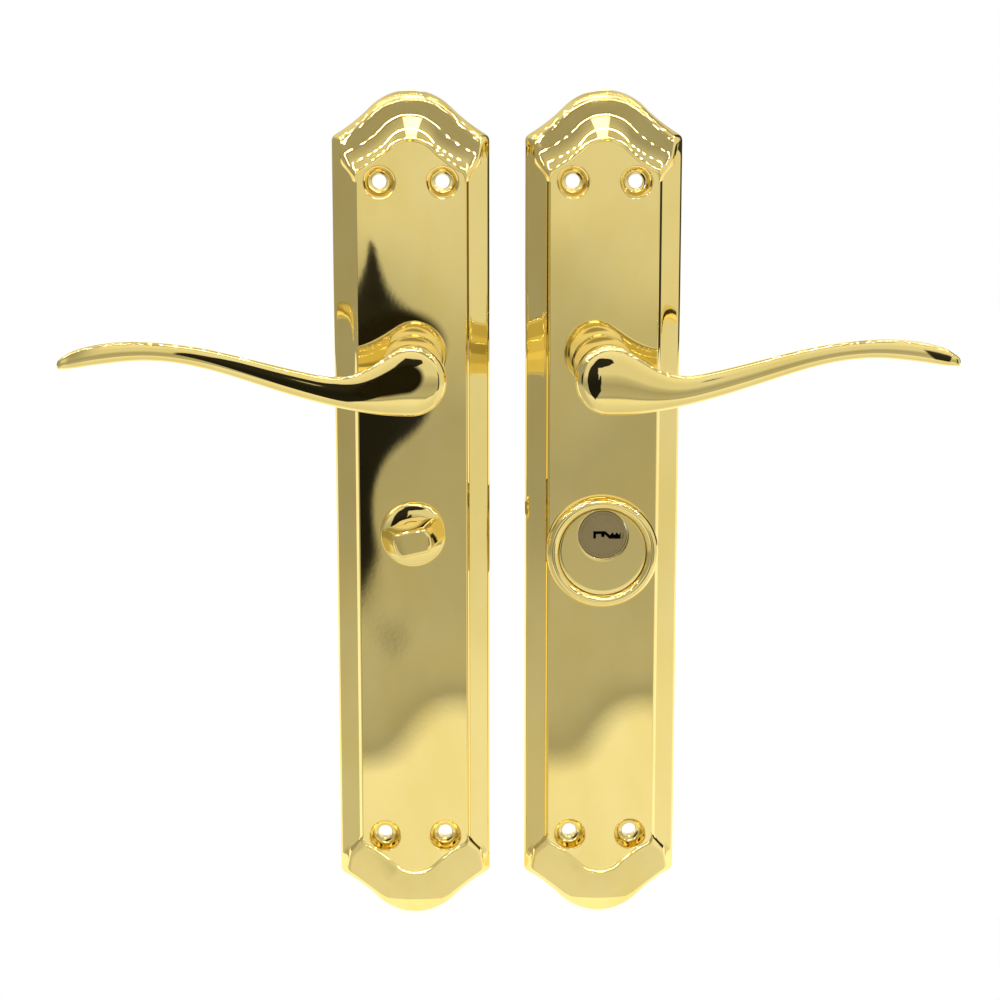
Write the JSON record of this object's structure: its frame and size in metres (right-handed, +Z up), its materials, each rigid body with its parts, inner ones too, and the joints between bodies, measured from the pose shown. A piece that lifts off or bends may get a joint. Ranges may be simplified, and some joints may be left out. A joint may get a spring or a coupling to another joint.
{
  "type": "lever handle set",
  "caption": "Mirror pair of lever handles on ogee back plates, one with a cylinder guard and keyed cylinder, the other with a thumbturn, sprung levers and a square spindle",
  "frame": {"origin": "middle of the outside plate's screw pattern, in the plane of the door's face", "axes": "+X to the right seen from the front, -Y out of the door towards the viewer, +Z up along the plates"},
  "size_m": [0.3055, 0.119, 0.3],
  "materials": {
    "polished_brass": "polished brass plate under clear lacquer",
    "nickel_brass": "satin nickel plate on turned brass",
    "pin_brass": "turned brass, bare",
    "acetal": "white acetal bearing",
    "spring_steel": "oiled spring steel wire",
    "cam_steel": "sintered steel",
    "dark_steel": "blackened hardened steel",
    "zinc_steel": "bright zinc plate"
  },
  "bodies": {
    "mounted": {"chamber_stopper_1": "nickel_brass", "chamber_stopper_2": "nickel_brass", "chamber_stopper_3": "nickel_brass", "chamber_stopper_4": "nickel_brass", "chamber_stopper_5": "nickel_brass", "cover_disc": "polished_brass", "cylinder_body": "nickel_brass", "driver_pin_1": "pin_brass", "driver_pin_2": "pin_brass", "driver_pin_3": "pin_brass", "driver_pin_4": "pin_brass", "driver_pin_5": "pin_brass", "guard_bridge": "zinc_steel", "guard_ring": "polished_brass", "guard_screw_left": "zinc_steel", "guard_screw_right": "zinc_steel", "inside_bush": "acetal", "inside_plate": "polished_brass", "inside_spring": "spring_steel", "inside_spring_cup": "zinc_steel", "outside_bush": "acetal", "outside_plate": "polished_brass", "outside_spring": "spring_steel", "outside_spring_cup": "zinc_steel", "pin_spring_1": "spring_steel", "pin_spring_2": "spring_steel", "pin_spring_3": "spring_steel", "pin_spring_4": "spring_steel", "pin_spring_5": "spring_steel", "turn_bush": "acetal", "turn_foot": "polished_brass"},
    "outside_lever_body": {"outside_lever": "polished_brass", "spindle": "zinc_steel", "outside_drive_plate": "zinc_steel", "outside_clip": "dark_steel", "outside_grub_screw": "dark_steel"},
    "inside_lever_body": {"inside_lever": "polished_brass", "inside_drive_plate": "zinc_steel", "inside_clip": "dark_steel", "inside_grub_screw": "dark_steel"},
    "thumbturn_body": {"thumbturn": "polished_brass", "turn_bar": "zinc_steel", "turn_washer": "dark_steel", "turn_clip": "dark_steel"},
    "plug_body": {"cylinder_plug": "nickel_brass", "cam": "cam_steel", "plug_clip": "dark_steel", "key_pin_1": "pin_brass", "key_pin_2": "pin_brass", "key_pin_3": "pin_brass", "key_pin_4": "pin_brass", "key_pin_5": "pin_brass"}
  },
  "joints": [
    {"name": "outside_lever_turn", "type": "hinge", "parent": "mounted", "child": "outside_lever_body", "pos_m": [0, -0.02, 0.054], "axis": [0, 1, 0], "range_deg": [0, 45], "stiffness_Nm_per_rad": 1.2, "springref_deg": -28.65, "deforming": ["outside_spring"]},
    {"name": "inside_lever_turn", "type": "hinge", "parent": "mounted", "child": "inside_lever_body", "pos_m": [-0.0675, -0.02, 0.054], "axis": [0, -1, 0], "range_deg": [0, 45], "stiffness_Nm_per_rad": 1.2, "springref_deg": -28.65, "deforming": ["inside_spring"]},
    {"name": "thumbturn_turn", "type": "hinge", "parent": "mounted", "child": "thumbturn_body", "pos_m": [-0.0675, -0.01, -0.006], "axis": [0, -1, 0], "range_deg": [-13, 77]},
    {"name": "cylinder_plug_turn", "type": "hinge", "parent": "mounted", "child": "plug_body", "pos_m": [0, 0, -0.006], "axis": [0, -1, 0], "continuous": true}
  ]
}
